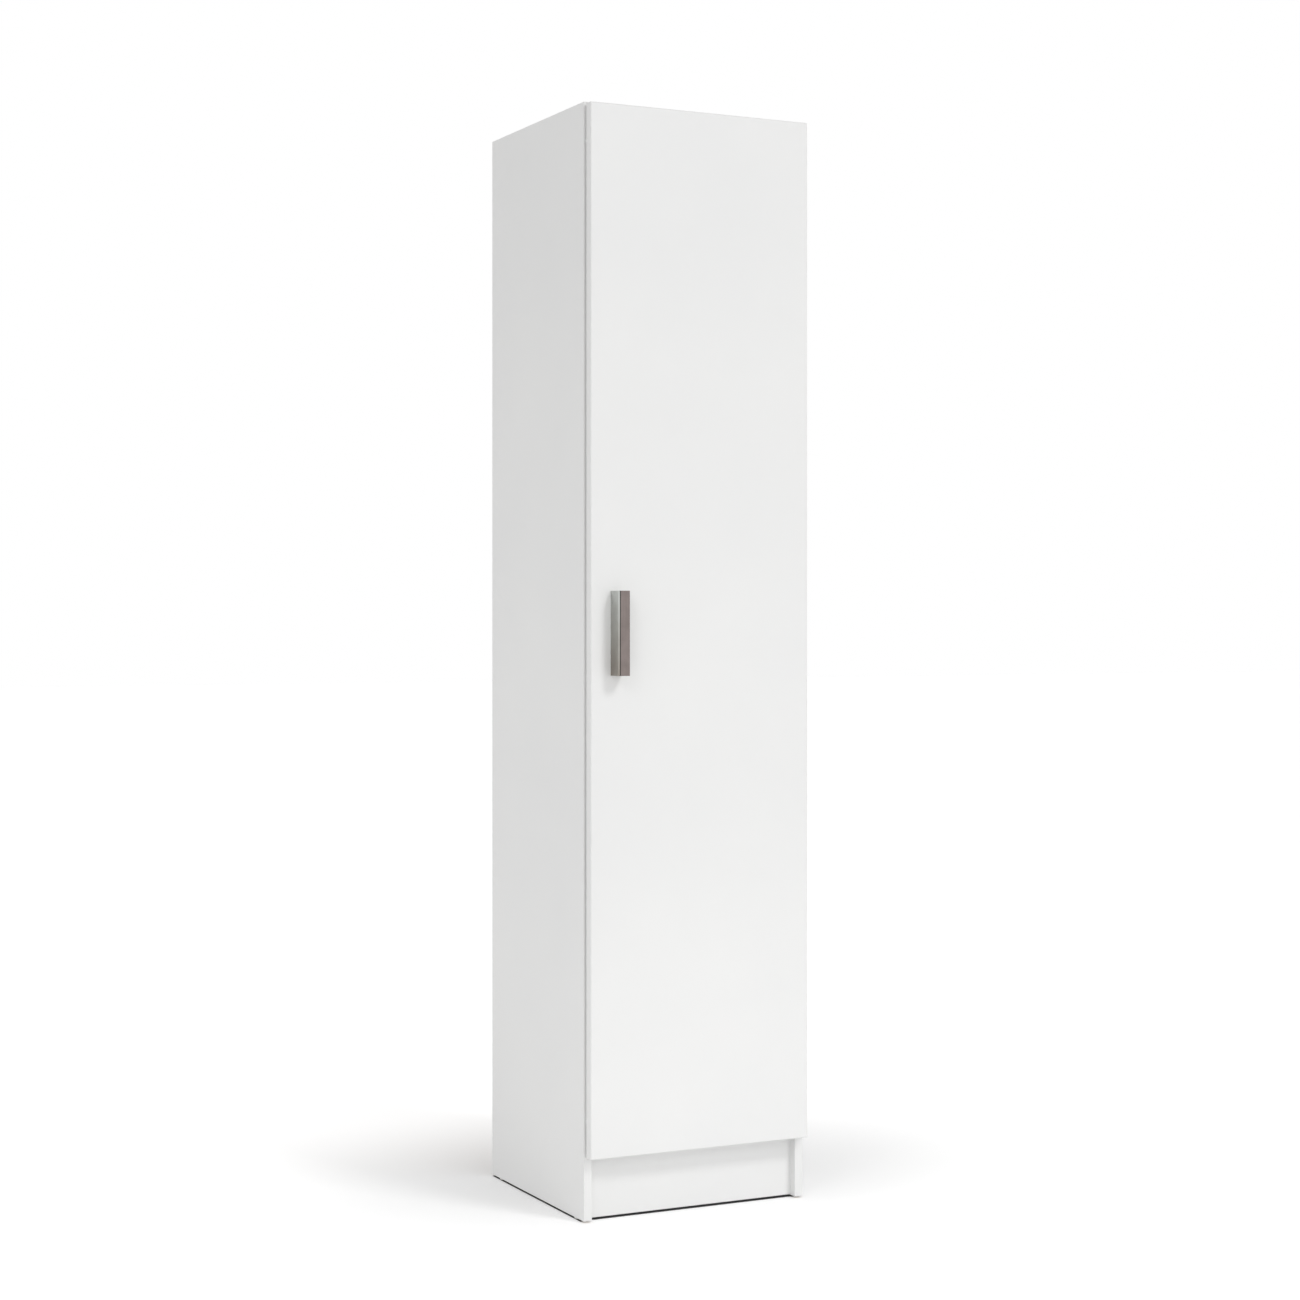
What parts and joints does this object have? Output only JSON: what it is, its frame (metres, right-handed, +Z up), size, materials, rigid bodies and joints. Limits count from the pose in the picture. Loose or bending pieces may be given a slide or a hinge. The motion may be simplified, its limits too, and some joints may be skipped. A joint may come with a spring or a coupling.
{
  "type": "broom cupboard",
  "caption": "Tall narrow broom cupboard in white board, with an overlay door on concealed hinges, a bar pull, an upper shelf over the broom room, and a recessed plinth.",
  "frame": {"origin": "on the floor, under the middle of the overall box, handle included", "axes": "+Z up, front faces -Y, +X to the right seen from the front"},
  "size_m": [0.404, 0.431, 1.8],
  "materials": {
    "white_melamine": "white melamine-faced chipboard, fine pearl texture",
    "white_melamine_door": "white melamine-faced chipboard with banded edges",
    "hardboard": "hardboard, white lacquer on its inner face",
    "cast_zinc": "die-cast zinc",
    "plated_steel": "bright zinc plate",
    "hinge_nickel": "nickel-plated pressed steel",
    "brushed_nickel": "brushed nickel on a cast pull",
    "beech": "bare beech",
    "white_plastic": "white moulded plastic",
    "soft_bumper": "soft translucent dots"
  },
  "bodies": {
    "carcass": {"left_side": "white_melamine", "right_side": "white_melamine", "top_panel": "white_melamine", "base_panel": "white_melamine", "fixed_shelf": "white_melamine", "plinth": "white_melamine", "back_panel": "hardboard", "cam_locks": "cast_zinc", "cam_bolts": "plated_steel", "wooden_dowels": "beech", "cam_caps": "white_plastic", "floor_glides": "white_plastic", "door_bumpers": "soft_bumper", "wall_bracket_left": "plated_steel", "wall_bracket_right": "plated_steel", "wall_bracket_screws": "plated_steel", "hinge_plate_bottom": "plated_steel", "hinge_plate_middle": "plated_steel", "hinge_plate_top": "plated_steel", "hinge_arm_bottom": "hinge_nickel", "hinge_arm_middle": "hinge_nickel", "hinge_arm_top": "hinge_nickel", "hinge_plate_screws": "plated_steel", "hinge_clamp_screws": "plated_steel", "hinge_adjusting_screws": "plated_steel", "catch_housing": "white_plastic", "catch_poles": "plated_steel", "catch_screws": "plated_steel"},
    "door": {"door_panel": "white_melamine_door", "hinge_cups": "hinge_nickel", "hinge_pins": "plated_steel", "hinge_cup_screws": "plated_steel", "strike_plate": "plated_steel", "strike_screws": "plated_steel", "pull_handle": "brushed_nickel", "handle_screws": "plated_steel"}
  },
  "joints": [
    {"name": "door_swing", "type": "hinge", "parent": "carcass", "child": "door", "pos_m": [0.1922, -0.176, 0.951], "axis": [0, 0, 1], "range_deg": [0, 100]}
  ]
}
